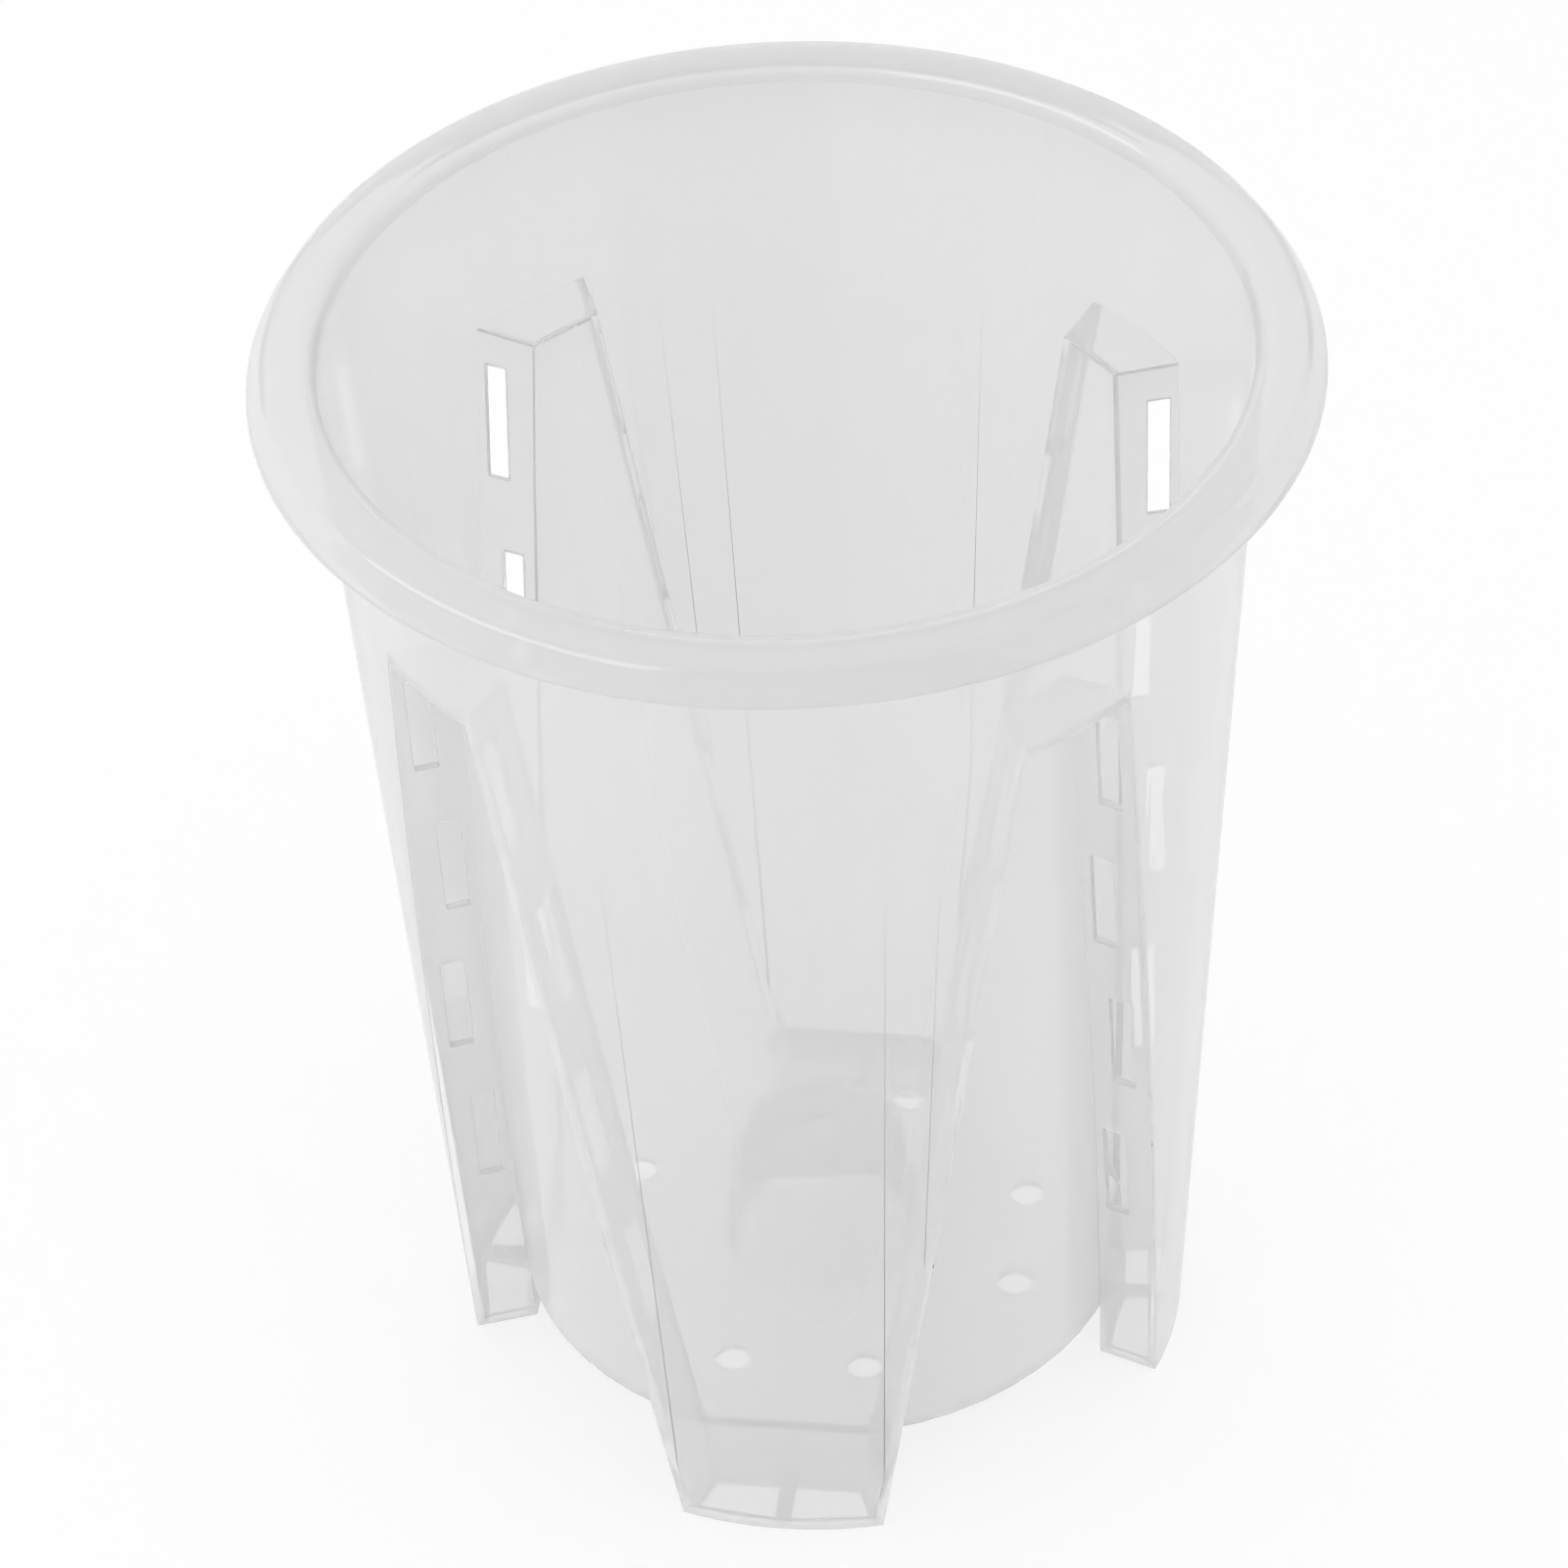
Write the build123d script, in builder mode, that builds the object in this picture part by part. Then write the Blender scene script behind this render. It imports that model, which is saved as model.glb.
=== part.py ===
"""Clear plastic orchid pot with recessed side channels, staggered air slots and a raised drained base."""
import os
from math import atan2, cos, radians, sin, sqrt, tan

from build123d import *

os.makedirs("parts", exist_ok=True)

# Overall form: a slender tapered pot that stands on z = 0, its axis on Z, its channels on the X and Y axes.
pot_height = 155.0
wall_radius_top = 57.1
wall_radius_base = 46.4
wall = 1.0

# Rim: a flange that stands out from the wall and turns down into a flared skirt.
rim_drop = 5.0
rim_flange_width = 5.5433
rim_crown_width = 1.5
rim_lip_fall = 0.8
rim_skirt_flare = 2.0
rim_skirt_land = 0.8
rim_thickness = 1.1
rim_inner_bevel = 0.7
rim_lip_bevel = 0.6

# Side channels: recesses of even depth, narrow at the ceiling and wider towards the base.
channel_top = 128.5
channel_depth = 8.0
channel_half_top = 4.4
channel_half_base = 19.1
channel_draft = 24.0

# Air slots: four on each side wall of a channel, by turns nearer its mouth and nearer its back.
slot_width = 3.0
slot_height = 16.0
slot_top_margin = 4.0
slot_gap = 10.0
slot_rows = 4
slot_column_outer = 5.3
slot_column_inner = 3.6

# Base: a floor held clear of the table by four hollow feet, drain holes in a ring and a hollow aeration cone.
foot_height = 9.5
foot_edge_bevel = 0.6
foot_step_clearance = 0.3
drain_rib = 2.0
drain_margin = 0.5
drain_wall_margin = 0.6
hole_ring_radius = 27.2
hole_diameter = 4.5
hole_offset_angle = 26.8
cone_base_radius = 13.0
cone_top_radius = 11.4
cone_top = 28.0
cone_shoulder_bevel = 2.3
cone_hole_radius = 2.2

# Levels and radii that follow from the sizes above.
rim_level = pot_height - rim_drop
collar_level = channel_top + wall
draft = radians(channel_draft)
wall_lean = (wall_radius_top - wall_radius_base) / rim_level


def wall_radius(z):
    """Outside radius of the tapered wall at height z."""
    return wall_radius_base + wall_lean * z


def back_radius(z):
    """Radius of the outside of a channel's curved back wall at height z."""
    return wall_radius(z) - channel_depth


def step_radius(z):
    """Radius of the side of a foot that faces the pot's axis, at height z."""
    return back_radius(z) + foot_step_clearance


corner_reach_base = sqrt(back_radius(0) ** 2 - channel_half_base**2)
corner_reach_top = sqrt(back_radius(channel_top) ** 2 - channel_half_top**2)
corner_lean = (corner_reach_top - corner_reach_base) / channel_top
side_lean = (channel_half_top - channel_half_base) / channel_top


def corner_line(z, side):
    """Point at height z on the straight line that joins the two ends of a channel's inner corner, on +X."""
    return Vector(corner_reach_base + corner_lean * z, side * (channel_half_base + side_lean * z), z)


def side_wall_axes(side):
    """Directions in a side wall of the channel on +X: level and outward, and up along its lean."""
    return Vector(cos(draft), side * sin(draft), 0), Vector(corner_lean, side * side_lean, 1)


def recess(grow):
    """The space of the channel on +X, grown by a wall thickness: a drafted wedge in front of a curved back."""
    reach = 2 * wall_radius_top
    top = channel_top + grow
    with BuildPart() as body:
        with BuildSketch(Plane.XY.offset(-wall)):
            Rectangle(reach, 2 * reach, align=(Align.MIN, Align.CENTER))
        extrude(amount=top + wall)
        for side in (-1, 1):
            outward, rise = side_wall_axes(side)
            away = Vector(-sin(draft), side * cos(draft), 0) * grow
            split(
                bisect_by=Plane(origin=corner_line(0, side) + away, z_dir=outward.cross(rise) * side),
                keep=Keep.TOP,
            )
        with BuildSketch(Plane.XZ):
            Polygon(
                (0, -2 * wall),
                (back_radius(-2 * wall) - grow, -2 * wall),
                (back_radius(top + wall) - grow, top + wall),
                (0, top + wall),
                align=None,
            )
        revolve(axis=Axis.Z, mode=Mode.SUBTRACT)
    return body.part


def tapered(low, high, inside, arc):
    """Turned body that follows the wall's taper between two heights, out from an inside radius."""
    with BuildPart() as body:
        with BuildSketch(Plane.XZ):
            Polygon(
                (inside(low), low),
                (wall_radius(low), low),
                (wall_radius(high), high),
                (inside(high), high),
                align=None,
            )
        revolve(axis=Axis.Z, revolution_arc=arc)
    return body.part


def slot_frame(row, side):
    """Plane of one air slot on the side wall of the channel on +X."""
    middle = channel_top - slot_top_margin - slot_height / 2 - row * (slot_height + slot_gap)
    column = slot_column_inner if row % 2 else slot_column_outer
    outward, rise = side_wall_axes(side)
    return Plane(origin=corner_line(middle, side) + outward * column, x_dir=outward, z_dir=outward.cross(rise))


def drain_side(reach):
    """Half the clear width of a foot, less a margin, at a distance out along its middle line."""
    corner_angle = radians(45) - atan2(channel_half_base, corner_reach_base)
    corner = back_radius(0)
    splay = radians(45) - draft
    half = corner * sin(corner_angle) + (reach - corner * cos(corner_angle)) * tan(splay)
    return half - (wall + drain_margin) / cos(splay)


outer_space = recess(0)
liner_space = recess(wall)


# Rim: flange with a bevelled inner edge, crowned top and turned-down skirt that stiffen the thin mouth.
rim_root = wall_radius(pot_height)
rim_lip_radius = rim_root + rim_flange_width
rim_radius = rim_lip_radius + rim_skirt_flare
rim_inner_corner = (rim_root - wall, pot_height)
rim_lip_corner = (rim_lip_radius, pot_height - rim_lip_fall)
with BuildPart() as rim:
    with BuildSketch(Plane.XZ) as rim_section:
        with BuildLine():
            Polyline(
                (wall_radius(rim_level) - wall, rim_level),
                rim_inner_corner,
                (rim_root + rim_crown_width, pot_height),
                rim_lip_corner,
                (rim_radius, rim_level + rim_skirt_land),
                (rim_radius, rim_level),
                (rim_radius - rim_thickness, rim_level),
                (rim_radius - rim_thickness, rim_level + rim_skirt_land),
                (rim_lip_radius - rim_thickness, pot_height - rim_lip_fall - rim_thickness),
                (rim_root, pot_height - rim_thickness),
                (wall_radius(rim_level), rim_level),
                close=True,
            )
        make_face()
        chamfer(rim_section.vertices().sort_by_distance(rim_inner_corner)[0], rim_inner_bevel)
        chamfer(rim_section.vertices().sort_by_distance(rim_lip_corner)[0], rim_lip_bevel)
    revolve(axis=Axis.Z)
rim.part.label = "rim"
export_step(rim.part, "parts/rim.step")

# Collar: the plain unbroken band of wall above the channels.
with BuildPart() as collar:
    add(tapered(collar_level, rim_level, lambda z: wall_radius(z) - wall, 360))
collar.part.label = "collar"
export_step(collar.part, "parts/collar.step")

# Wall panels: the curved bays of wall between neighbouring channels, each narrowing towards its foot.
with BuildPart() as panel_back_right:
    add(tapered(foot_height, collar_level, lambda z: wall_radius(z) - wall, 90))
    add(liner_space, mode=Mode.SUBTRACT)
    add(liner_space.rotate(Axis.Z, 90), mode=Mode.SUBTRACT)
panel_back_right.part.label = "panel_back_right"
export_step(panel_back_right.part, "parts/panel_back_right.step")

with BuildPart() as panel_back_left:
    add(panel_back_right.part.rotate(Axis.Z, 90))
panel_back_left.part.label = "panel_back_left"
export_step(panel_back_left.part, "parts/panel_back_left.step")

with BuildPart() as panel_front_left:
    add(panel_back_right.part.rotate(Axis.Z, 180))
panel_front_left.part.label = "panel_front_left"
export_step(panel_front_left.part, "parts/panel_front_left.step")

with BuildPart() as panel_front_right:
    add(panel_back_right.part.rotate(Axis.Z, 270))
panel_front_right.part.label = "panel_front_right"
export_step(panel_front_right.part, "parts/panel_front_right.step")

# Channels: ceiling ledge, curved back wall and two drafted side walls pierced by the staggered air slots.
with BuildPart() as channel_right:
    add(liner_space)
    add(outer_space, mode=Mode.SUBTRACT)
    add(tapered(foot_height, collar_level, lambda z: 0, 360), mode=Mode.INTERSECT)
    for row in range(slot_rows):
        for side in (-1, 1):
            with BuildSketch(slot_frame(row, side)):
                Rectangle(slot_width, slot_height)
            extrude(amount=2.5 * wall, both=True, mode=Mode.SUBTRACT)
channel_right.part.label = "channel_right"
export_step(channel_right.part, "parts/channel_right.step")

with BuildPart() as channel_back_side:
    add(channel_right.part.rotate(Axis.Z, 90))
channel_back_side.part.label = "channel_back"
export_step(channel_back_side.part, "parts/channel_back.step")

with BuildPart() as channel_left:
    add(channel_right.part.rotate(Axis.Z, 180))
channel_left.part.label = "channel_left"
export_step(channel_left.part, "parts/channel_left.step")

with BuildPart() as channel_front:
    add(channel_right.part.rotate(Axis.Z, 270))
channel_front.part.label = "channel_front"
export_step(channel_front.part, "parts/channel_front.step")

# Feet: hollow trays under the wall panels, each with a pair of drain openings parted by a rib.
drain_start = step_radius(wall) + wall + drain_margin
drain_end = wall_radius_base - wall - drain_wall_margin
with BuildPart() as foot_well:
    add(tapered(wall, foot_height, lambda z: step_radius(z) + wall, 90))
    add(liner_space, mode=Mode.SUBTRACT)
    add(liner_space.rotate(Axis.Z, 90), mode=Mode.SUBTRACT)
    add(tapered(0, foot_height, lambda z: wall_radius(z) - wall, 90), mode=Mode.SUBTRACT)

with BuildPart() as foot_back_right:
    add(tapered(0, foot_height, step_radius, 90))
    add(outer_space, mode=Mode.SUBTRACT)
    add(outer_space.rotate(Axis.Z, 90), mode=Mode.SUBTRACT)
    lowest_arcs = foot_back_right.edges().filter_by(GeomType.CIRCLE).group_by(Axis.Z)[0]
    chamfer(lowest_arcs.sort_by(SortBy.RADIUS)[-1], foot_edge_bevel)
    add(foot_well.part, mode=Mode.SUBTRACT)
    with BuildSketch(Plane.XY.rotated((0, 0, 45))):
        for side in (-1, 1):
            Polygon(
                (drain_start, side * drain_rib / 2),
                (drain_end, side * drain_rib / 2),
                (drain_end, side * drain_side(drain_end)),
                (drain_start, side * drain_side(drain_start)),
                align=None,
            )
        Circle(drain_end, mode=Mode.INTERSECT)
    extrude(amount=wall, mode=Mode.SUBTRACT)
foot_back_right.part.label = "foot_back_right"
export_step(foot_back_right.part, "parts/foot_back_right.step")

with BuildPart() as foot_back_left:
    add(foot_back_right.part.rotate(Axis.Z, 90))
foot_back_left.part.label = "foot_back_left"
export_step(foot_back_left.part, "parts/foot_back_left.step")

with BuildPart() as foot_front_left:
    add(foot_back_right.part.rotate(Axis.Z, 180))
foot_front_left.part.label = "foot_front_left"
export_step(foot_front_left.part, "parts/foot_front_left.step")

with BuildPart() as foot_front_right:
    add(foot_back_right.part.rotate(Axis.Z, 270))
foot_front_right.part.label = "foot_front_right"
export_step(foot_front_right.part, "parts/foot_front_right.step")

# Aeration cone: the hollow centre of the base, drawn up into the pot, with a small hole in its flat top.
cone_shoulder = (cone_top_radius, cone_top)
cone_shoulder_inside = (cone_top_radius - wall, cone_top - wall)
with BuildPart() as aeration_cone:
    with BuildSketch(Plane.XZ) as cone_section:
        with BuildLine():
            Polyline(
                (cone_base_radius - wall, foot_height),
                (cone_base_radius, foot_height),
                cone_shoulder,
                (cone_hole_radius, cone_top),
                (cone_hole_radius, cone_top - wall),
                cone_shoulder_inside,
                close=True,
            )
        make_face()
        chamfer(cone_section.vertices().sort_by_distance(cone_shoulder)[0], cone_shoulder_bevel)
        chamfer(cone_section.vertices().sort_by_distance(cone_shoulder_inside)[0], cone_shoulder_bevel - wall / 2)
    revolve(axis=Axis.Z)
aeration_cone.part.label = "aeration_cone"
export_step(aeration_cone.part, "parts/aeration_cone.step")

# Floor: the raised plate between the channels and feet, with its ring of drain holes round the cone.
with BuildPart() as base_floor:
    with BuildSketch(Plane.XY.offset(foot_height)):
        Circle(step_radius(foot_height) + wall)
        for quarter in range(4):
            for turn in (-hole_offset_angle, hole_offset_angle):
                with PolarLocations(hole_ring_radius, 1, start_angle=90 * quarter + turn):
                    Circle(hole_diameter / 2, mode=Mode.SUBTRACT)
    extrude(amount=wall)
    for quarter in range(4):
        add(liner_space.rotate(Axis.Z, 90 * quarter), mode=Mode.SUBTRACT)
    with BuildSketch(Plane.XZ):
        slope = (cone_base_radius - cone_top_radius) / (cone_top - foot_height)
        Polygon(
            (0, foot_height),
            (cone_base_radius, foot_height),
            (cone_base_radius - slope * wall, foot_height + wall),
            (0, foot_height + wall),
            align=None,
        )
    revolve(axis=Axis.Z, mode=Mode.SUBTRACT)
base_floor.part.label = "base_floor"
export_step(base_floor.part, "parts/base_floor.step")
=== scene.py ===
"""Clear slotted orchid pot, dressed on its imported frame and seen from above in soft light."""
from math import atan2, cos, radians, sin, sqrt

import bmesh
import bpy
from mathutils import Matrix, Vector


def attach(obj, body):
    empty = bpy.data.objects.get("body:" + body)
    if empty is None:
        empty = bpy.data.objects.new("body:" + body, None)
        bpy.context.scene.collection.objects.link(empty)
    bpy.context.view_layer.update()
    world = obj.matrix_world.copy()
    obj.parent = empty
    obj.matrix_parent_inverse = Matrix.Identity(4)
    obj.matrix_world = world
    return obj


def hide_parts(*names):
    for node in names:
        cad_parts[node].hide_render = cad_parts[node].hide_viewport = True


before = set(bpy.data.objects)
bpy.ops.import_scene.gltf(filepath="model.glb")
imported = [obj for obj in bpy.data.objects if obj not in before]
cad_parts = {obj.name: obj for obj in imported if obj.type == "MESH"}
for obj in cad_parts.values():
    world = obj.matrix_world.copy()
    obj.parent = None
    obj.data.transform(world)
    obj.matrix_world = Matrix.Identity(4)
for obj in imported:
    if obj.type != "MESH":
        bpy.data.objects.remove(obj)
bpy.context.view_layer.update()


# Wall: the tapered side of the pot, one skin of clear polypropylene about a millimetre thick.
# It is moulded in one shot with the rest of the pot, so one sheet carries all the forms below,
# its outer face on the outside of the pot. A quarter is made first, with its channel on +X.
mm = 0.001
cut_reach = 0.001 * mm
wall_thickness = 1.0 * mm
wall_radius_base = 46.4 * mm
wall_radius_top = 57.1 * mm
rim_level = 150.0 * mm
wall_top = 152.4 * mm
foot_height = 9.5 * mm
wall_facets = 192
wall_lean = (wall_radius_top - wall_radius_base) / rim_level


def wall_radius(height):
    """Outside radius of the tapered wall."""
    return wall_radius_base + wall_lean * height


def touching(faces):
    """Faces with their edges and corners, as a cutting plane takes them."""
    edges = {edge for face in faces for edge in face.edges}
    corners = {corner for face in faces for corner in face.verts}
    return list(faces) + list(edges) + list(corners)


def cut(sheet, faces, point, normal, keep_both=True):
    """Cuts the given faces of a sheet along a plane, and keeps both sides or only the one ahead."""
    bmesh.ops.bisect_plane(
        sheet,
        geom=touching(faces),
        dist=cut_reach,
        plane_co=point,
        plane_no=normal,
        clear_inner=not keep_both,
    )


pot = bmesh.new()
bmesh.ops.create_cone(
    pot,
    segments=wall_facets,
    radius1=wall_radius_base,
    radius2=wall_radius(wall_top),
    depth=wall_top,
    matrix=Matrix.Translation((0, 0, wall_top / 2)),
)
for quarter_side in (Vector((1, 1, 0)), Vector((1, -1, 0))):
    cut(pot, pot.faces, (0, 0, 0), quarter_side, keep_both=False)
cut(pot, pot.faces, (0, 0, foot_height), (0, 0, 1))


# Channel: a recess of even depth with a ceiling ledge, a curved back and two drafted side walls.
# It is narrow at its ceiling and grows wider down to the open base. The mould draws it out of the
# wall, so its walls carry on from the edges of the opening, and its back runs alongside the wall.
channel_top = 128.5 * mm
channel_depth = 8.0 * mm
channel_half_top = 4.4 * mm
channel_half_base = 19.1 * mm
channel_draft = radians(24)
tiny = 0.01 * mm


def back_radius(height):
    """Outside radius of a channel's curved back wall."""
    return wall_radius(height) - channel_depth


corner_reach_top = sqrt(back_radius(channel_top) ** 2 - channel_half_top**2)
corner_reach_base = sqrt(back_radius(0) ** 2 - channel_half_base**2)
corner_lean = (corner_reach_top - corner_reach_base) / channel_top
side_lean = (channel_half_top - channel_half_base) / channel_top
ceiling_angle = atan2(channel_half_top, corner_reach_top)


def corner_line(height, side):
    """Point on the straight line that joins the two ends of a channel's inner corner."""
    reach = corner_reach_base + corner_lean * height
    half = channel_half_base + side_lean * height
    return Vector((reach, side * half, height))


def side_wall_axes(side):
    """Directions of a side wall: level and outward, up along its lean, and square to it."""
    outward = Vector((cos(channel_draft), side * sin(channel_draft), 0))
    rise = Vector((corner_lean, side * side_lean, 1)).normalized()
    return outward, rise, outward.cross(rise).normalized()


def channel_corner(height, side):
    """Point of the inner corner itself, where a side wall meets the curved back wall."""
    start = corner_line(height, side)
    outward = side_wall_axes(side)[0]
    along = start.dot(outward)
    reach = sqrt(along**2 - start.to_2d().length_squared + back_radius(height) ** 2)
    return start + outward * (reach - along)


def on_back(height, angle):
    """Point of the curved back wall in a direction from the pot's axis."""
    radius = back_radius(height)
    return Vector((radius * cos(angle), radius * sin(angle), height))


def between_sides(point):
    """True where a point lies between the planes of a channel's two side walls."""
    return all(
        (point - corner_line(0, side)).dot(side_wall_axes(side)[2]) * side > 0 for side in (-1, 1)
    )


cut(pot, pot.faces, (0, 0, channel_top), (0, 0, 1))
for side in (-1, 1):
    below = [face for face in pot.faces if face.calc_center_median().z < channel_top]
    cut(pot, below, corner_line(0, side), side_wall_axes(side)[2])
opening = []
for face in pot.faces:
    middle = face.calc_center_median()
    if middle.z < channel_top and between_sides(middle):
        opening.append(face)
bmesh.ops.delete(pot, geom=opening, context="FACES")
opening_edges = [
    edge
    for edge in pot.edges
    if edge.is_boundary
    and tiny < max(corner.co.z for corner in edge.verts) < channel_top + tiny
    and abs(abs(edge.verts[0].co.y) - edge.verts[0].co.x) > tiny
]
opening_corners = [corner for edge in opening_edges for corner in edge.verts]
mouth_half_top = max(abs(c.co.y) for c in opening_corners if c.co.z > channel_top - tiny)
drawn = bmesh.ops.extrude_edge_only(pot, edges=opening_edges)["geom"]
drawn_corners = [part for part in drawn if isinstance(part, bmesh.types.BMVert)]
for corner in drawn_corners:
    height = corner.co.z
    if height > channel_top - tiny:
        corner.co = on_back(height, ceiling_angle * corner.co.y / mouth_half_top)
    else:
        corner.co = channel_corner(height, 1 if corner.co.y > 0 else -1)
ceiling_run = [corner for corner in drawn_corners if corner.co.z > channel_top - tiny]
ceiling_run.sort(key=lambda corner: corner.co.y)
shares = [atan2(corner.co.y, corner.co.x) / ceiling_angle for corner in ceiling_run]
lower_corners = [
    corner for corner in drawn_corners if foot_height - tiny < corner.co.z < channel_top - tiny
]
lower_corners.sort(key=lambda corner: corner.co.z)
back_rows = []
for left in [corner for corner in lower_corners if corner.co.y < 0]:
    right = min(
        (corner for corner in lower_corners if corner.co.y > 0),
        key=lambda corner: abs(corner.co.z - left.co.z),
    )
    half_angle = atan2(right.co.y, right.co.x)
    between = [pot.verts.new(on_back(left.co.z, half_angle * share)) for share in shares[1:-1]]
    back_rows.append([left] + between + [right])
back_rows.append(ceiling_run)
for lower, upper in zip(back_rows, back_rows[1:]):
    for column in range(len(shares) - 1):
        pot.faces.new((lower[column], lower[column + 1], upper[column + 1], upper[column]))


# Air slots: four upright windows in each side wall, by turns nearer the mouth and nearer the back.
# They let air to the roots, and shut-offs in the mould leave their edges square and clean.
# The quarter with its slots is then turned round the axis to close the wall.
slot_width = 3.0 * mm
slot_height = 16.0 * mm
slot_top_margin = 4.0 * mm
slot_gap = 10.0 * mm
slot_columns = (5.3 * mm, 3.6 * mm, 5.3 * mm, 3.6 * mm)
quarter_count = 4
quarter_turn = radians(90)


def side_faces(sheet, side, level, reach):
    """Faces of one channel side wall whose middles lie within a reach of a level."""
    square = side_wall_axes(side)[2]
    found = []
    for face in sheet.faces:
        on_wall = all(abs((c.co - corner_line(0, side)).dot(square)) < tiny for c in face.verts)
        if on_wall and abs(face.calc_center_median().z - level) < reach:
            found.append(face)
    return found


for side in (-1, 1):
    outward, rise, square = side_wall_axes(side)
    across = rise.cross(square).normalized()
    for row, column in enumerate(slot_columns):
        slot_drop = slot_top_margin + slot_height / 2 + row * (slot_height + slot_gap)
        level = channel_top - slot_drop
        centre = corner_line(level, side) + outward * column
        for end in (-1, 1):
            near = side_faces(pot, side, level, slot_height)
            cut(pot, near, centre + rise * end * slot_height / 2, rise)
        for end in (-1, 1):
            band = side_faces(pot, side, level, slot_height / 2)
            cut(pot, band, centre + outward * end * slot_width / 2, across)
        window = [
            face
            for face in side_faces(pot, side, level, slot_height / 2)
            if abs((face.calc_center_median() - centre).dot(across)) < slot_width / 2
        ]
        bmesh.ops.delete(pot, geom=window, context="FACES")

bmesh.ops.spin(
    pot,
    geom=touching(pot.faces),
    cent=(0, 0, 0),
    axis=(0, 0, 1),
    dvec=(0, 0, 0),
    angle=(quarter_count - 1) * quarter_turn,
    steps=quarter_count - 1,
    use_duplicate=True,
)
bmesh.ops.remove_doubles(pot, verts=pot.verts, dist=tiny)


# Feet: the wall bays run down to four hollow feet, which hold the floor clear of the table.
# Each is closed by a straight inner side and a flat sole, moulded with the wall, and has a pair
# of drain openings in the sole, parted by a rib on its middle line.
bay_turn = radians(45)
foot_spread = radians(28)
drain_rib = 2.0 * mm
drain_start = 38.6 * mm
drain_end = 44.5 * mm
drain_turn = radians(7.5)
drain_margin = 1.5 * mm
foot_corner_angle = bay_turn - atan2(channel_half_base, corner_reach_base)
foot_splay = bay_turn - channel_draft


def loop_edges(sheet, height):
    """Boundary edges of a sheet that lie level at one height."""
    return [
        edge
        for edge in sheet.edges
        if edge.is_boundary and all(abs(corner.co.z - height) < tiny for corner in edge.verts)
    ]


def toward(edges, angle, spread):
    """The edges whose middles lie within a spread of a direction from the pot's axis."""
    direction = Vector((cos(angle), sin(angle)))
    return [
        edge
        for edge in edges
        if (edge.verts[0].co + edge.verts[1].co).to_2d().normalized().dot(direction) > cos(spread)
    ]


def sole_faces(sheet, angle):
    """Faces of the flat underside of the foot in a direction."""
    direction = Vector((cos(angle), sin(angle), 0))
    return [
        face
        for face in sheet.faces
        if all(abs(corner.co.z) < tiny for corner in face.verts)
        and face.calc_center_median().normalized().dot(direction) > cos(foot_spread)
    ]


for quarter in range(quarter_count):
    foot_angle = bay_turn + quarter * quarter_turn
    ahead = Vector((cos(foot_angle), sin(foot_angle), 0))
    aside = Vector((-sin(foot_angle), cos(foot_angle), 0))
    uprights = [
        edge
        for edge in pot.edges
        if edge.is_boundary
        and max(corner.co.z for corner in edge.verts) < foot_height + tiny
        and abs(edge.verts[0].co.z - edge.verts[1].co.z) > tiny
    ]
    bmesh.ops.bridge_loops(pot, edges=toward(uprights, foot_angle, foot_spread))
    bmesh.ops.edgenet_fill(pot, edges=toward(loop_edges(pot, 0), foot_angle, foot_spread))
    cut(pot, sole_faces(pot, foot_angle), ahead * drain_start, ahead)
    drains = []
    for side in (-1, 1):
        corner_way = ahead * cos(foot_corner_angle) + aside * side * sin(foot_corner_angle)
        across = aside * side * cos(foot_splay) - ahead * sin(foot_splay)
        outermost = Matrix.Rotation(side * drain_turn, 3, "Z") @ ahead
        inner_limit = (ahead * drain_start, -ahead)
        other_limits = (
            (aside * side * drain_rib / 2, -aside * side),
            (corner_way * back_radius(0) - across * drain_margin, across),
            (outermost * drain_end, outermost),
        )
        for point, outward in other_limits:
            half = [
                face
                for face in sole_faces(pot, foot_angle)
                if face.calc_center_median().dot(aside) * side > -tiny
            ]
            cut(pot, half, point, outward)
        for face in sole_faces(pot, foot_angle):
            middle = face.calc_center_median()
            limits = other_limits + (inner_limit,)
            if all((middle - point).dot(outward) < 0 for point, outward in limits):
                drains.append(face)
    bmesh.ops.delete(pot, geom=drains, context="FACES")


# Floor and cone: a raised floor with a ring of round drain holes, drawn up in the middle into
# a hollow cone with a hole at its crown, which carries air to the heart of the roots. Both are
# part of the one shot, and the floor runs out to the channels' backs and the feet.
hole_ring_radius = 27.2 * mm
hole_radius = 2.25 * mm
hole_turn = radians(26.8)
hole_facets = 28
cone_facets = 72
cone_profile = (
    (12.0, 9.5),
    (11.9, 10.6),
    (10.62, 24.3),
    (10.4, 25.3),
    (9.85, 26.2),
    (9.0, 26.8),
    (8.0, 27.0),
    (2.2, 27.0),
)


def ring(sheet, radius, facets, centre=(0, 0)):
    """A circle of edges on the level of the floor."""
    made = bmesh.ops.create_circle(
        sheet,
        cap_ends=False,
        radius=radius,
        segments=facets,
        matrix=Matrix.Translation((centre[0], centre[1], foot_height)),
    )
    return list(dict.fromkeys(edge for corner in made["verts"] for edge in corner.link_edges))


def draw_on(sheet, edges, radius, height):
    """Carries a circle of edges on to a new radius and height, and gives the new circle."""
    made = bmesh.ops.extrude_edge_only(sheet, edges=edges)["geom"]
    for part in made:
        if isinstance(part, bmesh.types.BMVert):
            flat = part.co.to_2d().normalized() * radius
            part.co = Vector((flat.x, flat.y, height))
    return [part for part in made if isinstance(part, bmesh.types.BMEdge) and part.is_boundary]


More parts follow.
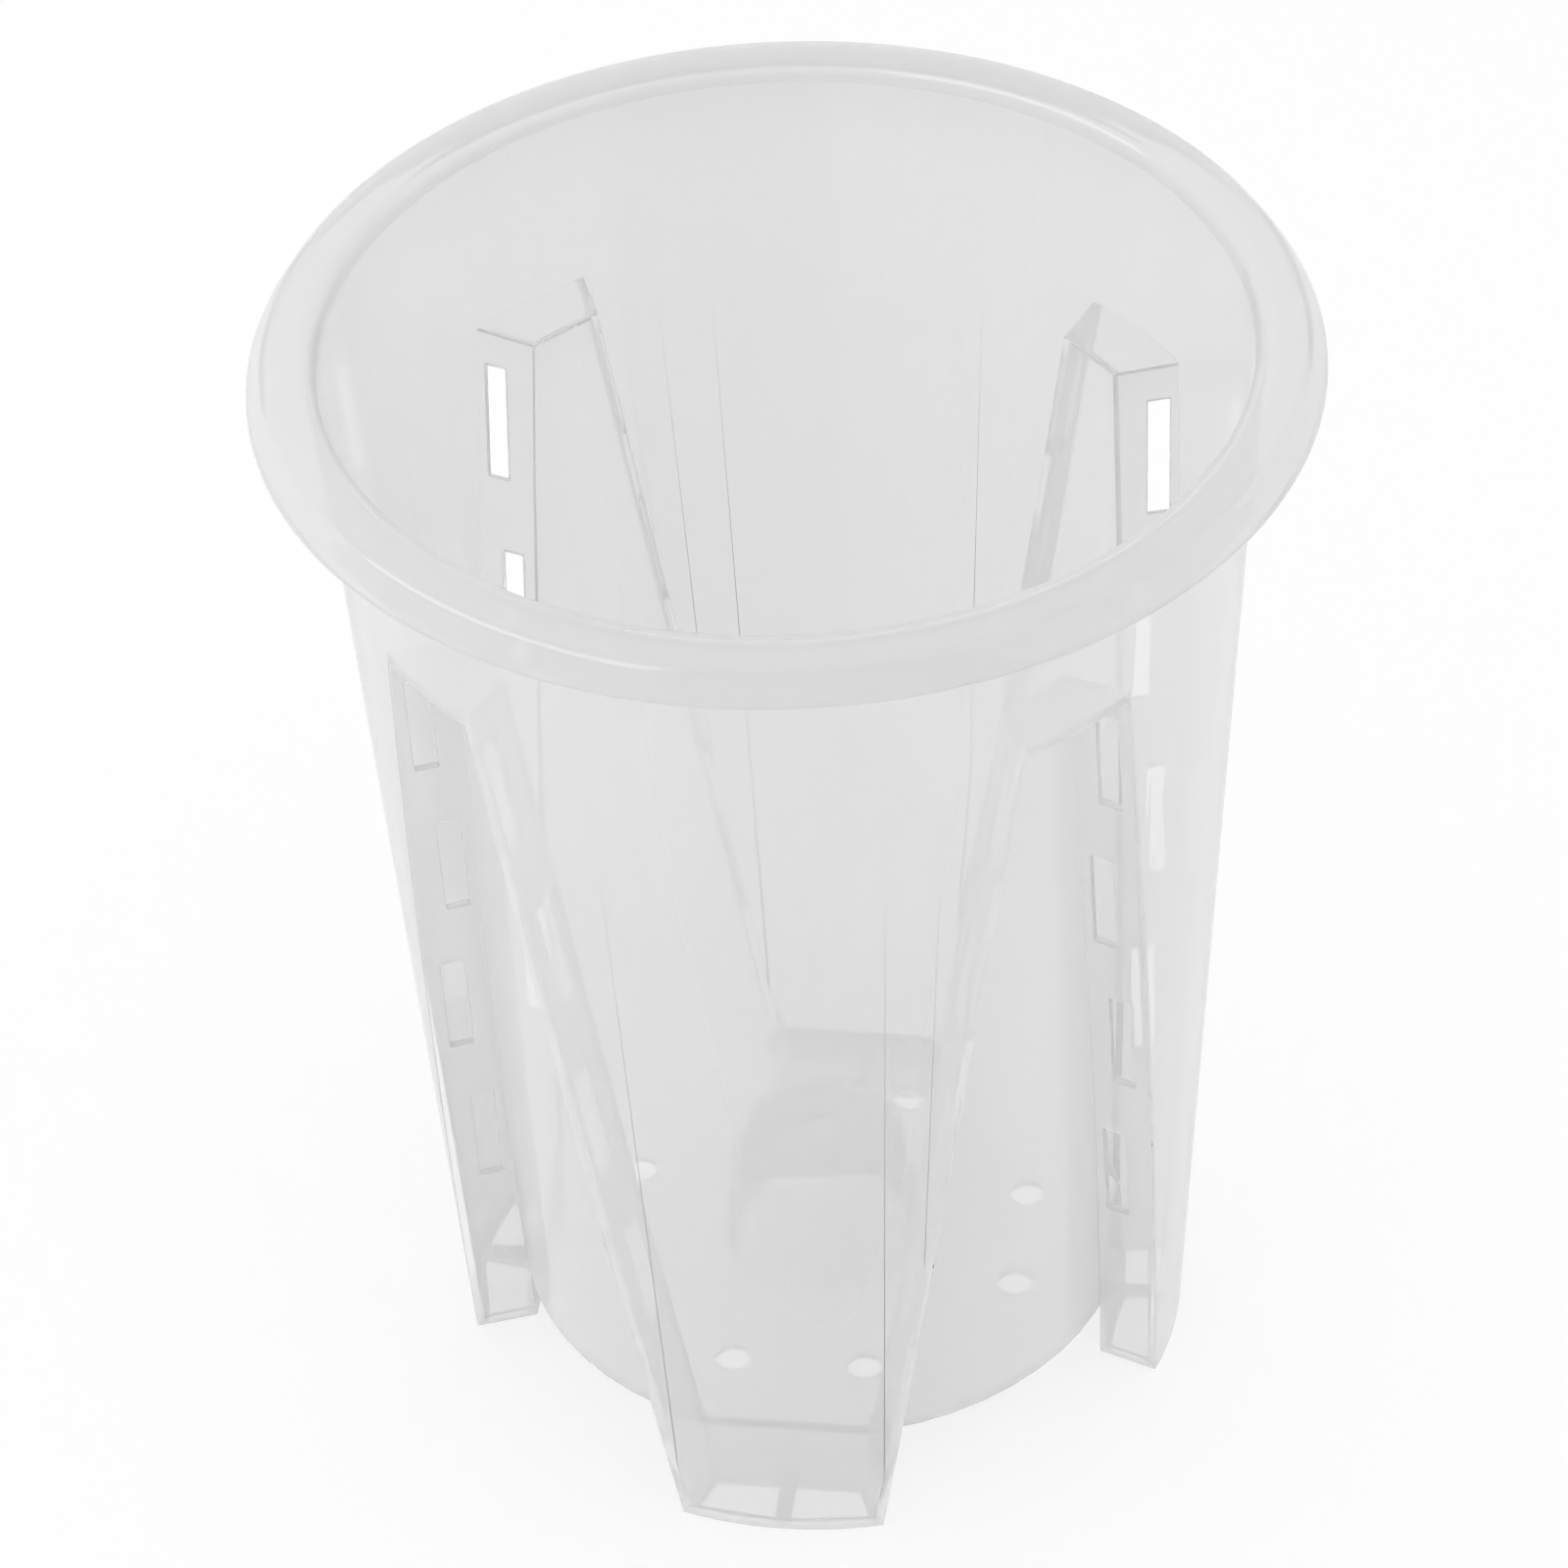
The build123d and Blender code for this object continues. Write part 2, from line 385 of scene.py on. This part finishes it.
floor_edges = loop_edges(pot, foot_height)
for quarter in range(quarter_count):
    for side in (-1, 1):
        angle = quarter * quarter_turn + side * hole_turn
        centre = (hole_ring_radius * cos(angle), hole_ring_radius * sin(angle))
        floor_edges += ring(pot, hole_radius, hole_facets, centre)
cone_edges = ring(pot, cone_profile[0][0] * mm, cone_facets)
bmesh.ops.triangle_fill(
    pot,
    edges=floor_edges + cone_edges,
    use_beauty=True,
    use_dissolve=False,
    normal=(0, 0, 1),
)
for radius, height in cone_profile[1:]:
    cone_edges = draw_on(pot, cone_edges, radius * mm, height * mm)


# Rim: the wall turns out over a soft inner edge into a crowned flange, then down into a flared
# skirt, still the same clear skin. The turned edge stiffens the thin mouth and gives the fingers
# a hold. Its faces take the third of the pot's finishes, the same plastic made milkier and
# darker: painted shade that takes back the extra light the rim catches.
# The rim's faces get the darker finish, which is painted shade.
rim_painted_shade_index = 2
rim_profile = (
    (57.36, 153.2),
    (57.5, 153.62),
    (57.78, 153.9),
    (58.2, 154.0),
    (59.4, 154.0),
    (61.6, 153.56),
    (62.02, 153.42),
    (62.3, 153.18),
    (62.46, 152.8),
    (63.7, 151.1),
    (63.95, 150.6),
    (64.0, 150.0),
)
rim_edges = loop_edges(pot, wall_top)
for radius, height in rim_profile:
    rim_edges = draw_on(pot, rim_edges, radius * mm, height * mm)
    for edge in rim_edges:
        for face in edge.link_faces:
            face.material_index = rim_painted_shade_index


# Moulding: clear polypropylene, shot into a polished steel mould in one go. The mould leaves an
# even wall and a small round on every edge. The outer skin is the glossiest and the inner skin a
# little duller. The inner skin and the rim take the same plastic in other tones as painted light:
# the inner skin's milky tone brighter and its clear tone darker to even out the dimmer light inside
# the pot, and the rim milkier and darker as painted shade for the extra light it catches.
edge_round = 0.18 * mm
edge_round_steps = 2
edge_round_from = radians(35)
upper_level = 60 * mm
plastic_ior = 1.49
far_skin_tone = 0.97
far_skin_scatter = 0.28
slant_blend = 0.16
shadow_tone = 0.95

bmesh.ops.remove_doubles(pot, verts=pot.verts, dist=tiny)
bmesh.ops.recalc_face_normals(pot, faces=pot.faces)
upper_faces = [face for face in pot.faces if face.calc_center_median().z > upper_level]
wall_face = max(upper_faces, key=lambda face: face.calc_area())
wall_middle = wall_face.calc_center_median()
if wall_face.normal.dot(Vector((wall_middle.x, wall_middle.y, 0))) < 0:
    bmesh.ops.reverse_faces(pot, faces=pot.faces)
for face in pot.faces:
    face.smooth = True
pot_mesh = bpy.data.meshes.new("orchid_pot")
pot.to_mesh(pot_mesh)
pot.free()
orchid_pot = bpy.data.objects.new("orchid_pot", pot_mesh)
bpy.context.collection.objects.link(orchid_pot)
skin = orchid_pot.modifiers.new("wall", "SOLIDIFY")
skin.thickness = wall_thickness
skin.offset = -1.0
skin.use_even_offset = True
skin.use_quality_normals = True
skin.material_offset = 1
softened = orchid_pot.modifiers.new("mould_edges", "BEVEL")
softened.width = edge_round
softened.segments = edge_round_steps
softened.limit_method = "ANGLE"
softened.angle_limit = edge_round_from
softened.use_clamp_overlap = False
softened.harden_normals = True

moulded_skin = bpy.data.node_groups.new("moulded_skin", "ShaderNodeTree")
skin_sockets = moulded_skin.interface
skin_sockets.new_socket("Gloss loss", in_out="INPUT", socket_type="NodeSocketFloat")
skin_sockets.new_socket("Haze", in_out="OUTPUT", socket_type="NodeSocketFloat")
skin_sockets.new_socket("Roughness", in_out="OUTPUT", socket_type="NodeSocketFloat")
skin_sockets.new_socket("Normal", in_out="OUTPUT", socket_type="NodeSocketVector")
skin_nodes = moulded_skin.nodes
skin_links = moulded_skin.links
skin_in = skin_nodes.new("NodeGroupInput")
skin_out = skin_nodes.new("NodeGroupOutput")
pot_place = skin_nodes.new("ShaderNodeTexCoord")
flow = skin_nodes.new("ShaderNodeTexNoise")
flow.inputs["Scale"].default_value = 45.0
flow.inputs["Detail"].default_value = 3.0
flow.inputs["Roughness"].default_value = 0.55
skin_links.new(pot_place.outputs["Object"], flow.inputs["Vector"])
skin_links.new(flow.outputs["Fac"], skin_out.inputs["Haze"])
polish = skin_nodes.new("ShaderNodeMath")
polish.operation = "MULTIPLY"
skin_links.new(flow.outputs["Fac"], polish.inputs[0])
skin_links.new(skin_in.outputs["Gloss loss"], polish.inputs[1])
skin_links.new(polish.outputs["Value"], skin_out.inputs["Roughness"])
ripple = skin_nodes.new("ShaderNodeTexNoise")
ripple.inputs["Scale"].default_value = 160.0
ripple.inputs["Detail"].default_value = 2.0
skin_links.new(pot_place.outputs["Object"], ripple.inputs["Vector"])
relief = skin_nodes.new("ShaderNodeBump")
relief.inputs["Strength"].default_value = 0.02
relief.inputs["Distance"].default_value = 0.2 * mm
skin_links.new(ripple.outputs["Fac"], relief.inputs["Height"])
skin_links.new(relief.outputs["Normal"], skin_out.inputs["Normal"])


def grey(tone):
    """A neutral colour."""
    return (tone, tone, tone, 1)


def plastic(name, clear_tone, cloudy_tone, edge_tone, clear_share, gloss_loss):
    """Clear moulded plastic: hazy where seen square on, milky where seen along its wall."""
    material = bpy.data.materials.new(name)
    material.use_nodes = True
    nodes = material.node_tree.nodes
    links = material.node_tree.links
    nodes.clear()
    finish_out = nodes.new("ShaderNodeOutputMaterial")
    texture = nodes.new("ShaderNodeGroup")
    texture.node_tree = moulded_skin
    texture.inputs["Gloss loss"].default_value = gloss_loss
    tone = nodes.new("ShaderNodeMix")
    tone.data_type = "RGBA"
    tone.inputs["A"].default_value = grey(clear_tone)
    tone.inputs["B"].default_value = grey(cloudy_tone)
    links.new(texture.outputs["Haze"], tone.inputs["Factor"])
    hazy = nodes.new("ShaderNodeBsdfPrincipled")
    hazy.inputs["IOR"].default_value = plastic_ior
    hazy.inputs["Transmission Weight"].default_value = clear_share
    links.new(tone.outputs["Result"], hazy.inputs["Base Color"])
    links.new(texture.outputs["Roughness"], hazy.inputs["Roughness"])
    links.new(texture.outputs["Normal"], hazy.inputs["Normal"])
    milky = nodes.new("ShaderNodeBsdfPrincipled")
    milky.inputs["Base Color"].default_value = grey(edge_tone)
    milky.inputs["Specular IOR Level"].default_value = 0.1
    milky.inputs["Roughness"].default_value = 0.4
    slant = nodes.new("ShaderNodeLayerWeight")
    slant.inputs["Blend"].default_value = slant_blend
    near_skin = nodes.new("ShaderNodeMixShader")
    links.new(slant.outputs["Facing"], near_skin.inputs["Fac"])
    links.new(hazy.outputs["BSDF"], near_skin.inputs[1])
    links.new(milky.outputs["BSDF"], near_skin.inputs[2])
    within = nodes.new("ShaderNodeBsdfPrincipled")
    within.inputs["Base Color"].default_value = grey(far_skin_tone)
    within.inputs["Roughness"].default_value = 0.02
    within.inputs["IOR"].default_value = plastic_ior
    within.inputs["Transmission Weight"].default_value = 1.0
    scattered = nodes.new("ShaderNodeBsdfTranslucent")
    scattered.inputs["Color"].default_value = grey(far_skin_tone)
    far_skin = nodes.new("ShaderNodeMixShader")
    far_skin.inputs["Fac"].default_value = far_skin_scatter
    links.new(within.outputs["BSDF"], far_skin.inputs[1])
    links.new(scattered.outputs["BSDF"], far_skin.inputs[2])
    facing = nodes.new("ShaderNodeNewGeometry")
    both_skins = nodes.new("ShaderNodeMixShader")
    links.new(facing.outputs["Backfacing"], both_skins.inputs["Fac"])
    links.new(near_skin.outputs["Shader"], both_skins.inputs[1])
    links.new(far_skin.outputs["Shader"], both_skins.inputs[2])
    through = nodes.new("ShaderNodeBsdfTransparent")
    through.inputs["Color"].default_value = grey(shadow_tone)
    path = nodes.new("ShaderNodeLightPath")
    let_light = nodes.new("ShaderNodeMixShader")
    links.new(path.outputs["Is Shadow Ray"], let_light.inputs["Fac"])
    links.new(both_skins.outputs["Shader"], let_light.inputs[1])
    links.new(through.outputs["BSDF"], let_light.inputs[2])
    links.new(let_light.outputs["Shader"], finish_out.inputs["Surface"])
    return material


outer_finish = plastic(
    "clear_plastic",
    clear_tone=0.90,
    cloudy_tone=0.94,
    edge_tone=0.63,
    clear_share=0.8,
    gloss_loss=0.06,
)
# The inside: the same plastic with a brighter milky tone and a darker clear tone, painted light
# that evens out the dimmer light inside the pot.
inner_painted_light_finish = plastic(
    "clear_plastic_inside_painted_light",
    clear_tone=0.71,
    cloudy_tone=0.75,
    edge_tone=0.86,
    clear_share=0.8,
    gloss_loss=0.2,
)
# The rim: the same plastic, less clear and darker, as painted shade for the extra light it catches.
rim_painted_shade_finish = plastic(
    "clear_plastic_rim_painted_shade",
    clear_tone=0.68,
    cloudy_tone=0.72,
    edge_tone=0.70,
    clear_share=0.5,
    gloss_loss=0.1,
)
for finish in (outer_finish, inner_painted_light_finish, rim_painted_shade_finish):
    pot_mesh.materials.append(finish)

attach(orchid_pot, "root")
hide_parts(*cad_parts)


# Studio: a plain pale floor that shows white behind the pot and keeps its shadow, a wide soft lamp
# on the left, a larger and weaker one on the right, and an even pale surround.
floor_half = 3.0
floor_tone = 0.90
floor_white_share = 0.62
surround_level = 0.93
white_level = 1.0
bounce_limit = 0.5
lamp_target = Vector((0, 0, 0.08))

studio_mesh = bpy.data.meshes.new("studio_floor")
studio_sheet = bmesh.new()
bmesh.ops.create_grid(studio_sheet, x_segments=1, y_segments=1, size=floor_half)
studio_sheet.to_mesh(studio_mesh)
studio_sheet.free()
studio_floor = bpy.data.objects.new("studio_floor", studio_mesh)
bpy.context.collection.objects.link(studio_floor)


def seen_directly(tree):
    """Light Path value that is 1 for what the camera, a mirror or a clear piece sees."""
    rays = tree.nodes.new("ShaderNodeLightPath")
    either = tree.nodes.new("ShaderNodeMath")
    either.operation = "MAXIMUM"
    tree.links.new(rays.outputs["Is Camera Ray"], either.inputs[0])
    tree.links.new(rays.outputs["Is Glossy Ray"], either.inputs[1])
    any_of = tree.nodes.new("ShaderNodeMath")
    any_of.operation = "MAXIMUM"
    tree.links.new(either.outputs[0], any_of.inputs[0])
    tree.links.new(rays.outputs["Is Transmission Ray"], any_of.inputs[1])
    first = tree.nodes.new("ShaderNodeMath")
    first.operation = "LESS_THAN"
    first.inputs[1].default_value = bounce_limit
    tree.links.new(rays.outputs["Diffuse Depth"], first.inputs[0])
    kept = tree.nodes.new("ShaderNodeMath")
    kept.operation = "MULTIPLY"
    tree.links.new(any_of.outputs[0], kept.inputs[0])
    tree.links.new(first.outputs[0], kept.inputs[1])
    return kept.outputs[0]


pale_floor = bpy.data.materials.new("pale_floor")
pale_floor.use_nodes = True
floor_tree = pale_floor.node_tree
floor_tree.nodes.clear()
floor_out = floor_tree.nodes.new("ShaderNodeOutputMaterial")
matt = floor_tree.nodes.new("ShaderNodeBsdfDiffuse")
matt.inputs["Color"].default_value = grey(floor_tone)
white = floor_tree.nodes.new("ShaderNodeEmission")
white.inputs["Color"].default_value = grey(1)
white.inputs["Strength"].default_value = white_level
white_share = floor_tree.nodes.new("ShaderNodeMath")
white_share.operation = "MULTIPLY"
white_share.inputs[1].default_value = floor_white_share
floor_tree.links.new(seen_directly(floor_tree), white_share.inputs[0])
floor_blend = floor_tree.nodes.new("ShaderNodeMixShader")
floor_tree.links.new(white_share.outputs[0], floor_blend.inputs["Fac"])
floor_tree.links.new(matt.outputs["BSDF"], floor_blend.inputs[1])
floor_tree.links.new(white.outputs["Emission"], floor_blend.inputs[2])
floor_tree.links.new(floor_blend.outputs["Shader"], floor_out.inputs["Surface"])
studio_mesh.materials.append(pale_floor)

surround = bpy.data.worlds.new("surround")
bpy.context.scene.world = surround
surround.use_nodes = True
world_tree = surround.node_tree
world_tree.nodes.clear()
world_out = world_tree.nodes.new("ShaderNodeOutputWorld")
dim = world_tree.nodes.new("ShaderNodeBackground")
dim.inputs["Color"].default_value = grey(1)
dim.inputs["Strength"].default_value = surround_level
bright = world_tree.nodes.new("ShaderNodeBackground")
bright.inputs["Color"].default_value = grey(1)
bright.inputs["Strength"].default_value = white_level
world_blend = world_tree.nodes.new("ShaderNodeMixShader")
world_tree.links.new(seen_directly(world_tree), world_blend.inputs["Fac"])
world_tree.links.new(dim.outputs["Background"], world_blend.inputs[1])
world_tree.links.new(bright.outputs["Background"], world_blend.inputs[2])
world_tree.links.new(world_blend.outputs["Shader"], world_out.inputs["Surface"])


def soft_lamp(name, stand, width, height, power):
    """A soft box turned towards the pot."""
    lamp = bpy.data.lights.new(name, "AREA")
    lamp.shape = "RECTANGLE"
    lamp.size = width
    lamp.size_y = height
    lamp.energy = power
    lamp_object = bpy.data.objects.new(name, lamp)
    bpy.context.collection.objects.link(lamp_object)
    lamp_object.location = stand
    lamp_object.rotation_euler = (lamp_target - stand).to_track_quat("-Z", "Y").to_euler()


soft_lamp("key_lamp", Vector((-1.1, 0.19, 0.95)), width=1.6, height=0.5, power=5.5)
soft_lamp("fill_lamp", Vector((0.7, -1.0, 0.8)), width=1.6, height=1.6, power=3.0)


# Camera: a long lens a little over a metre from the pot, which looks down on it at about forty
# degrees and is rolled by less than three.
yaw = radians(-0.1871)
pitch = radians(39.7462)
roll = radians(2.6978)
camera_turn = Matrix.Rotation(radians(-36), 3, "Z")
camera_stand = camera_turn @ Vector((0, -0.80428, 0.75401))
camera_data = bpy.data.cameras.new("camera")
camera_data.sensor_width = 36.0
camera_data.lens = 192.007
camera_data.clip_start = 0.05
camera_data.clip_end = 20.0
camera = bpy.data.objects.new("camera", camera_data)
bpy.context.collection.objects.link(camera)
bpy.context.scene.camera = camera
forward = Vector((sin(yaw) * cos(pitch), cos(yaw) * cos(pitch), -sin(pitch)))
level_right = Vector((cos(yaw), -sin(yaw), 0))
level_down = forward.cross(level_right)
rolled_right = level_right * cos(roll) + level_down * sin(roll)
rolled_down = level_down * cos(roll) - level_right * sin(roll)
axes = [camera_turn @ axis for axis in (rolled_right, -rolled_down, -forward)]
camera.matrix_world = Matrix.Translation(camera_stand) @ Matrix(axes).transposed().to_4x4()

bpy.context.scene.view_settings.view_transform = "Standard"
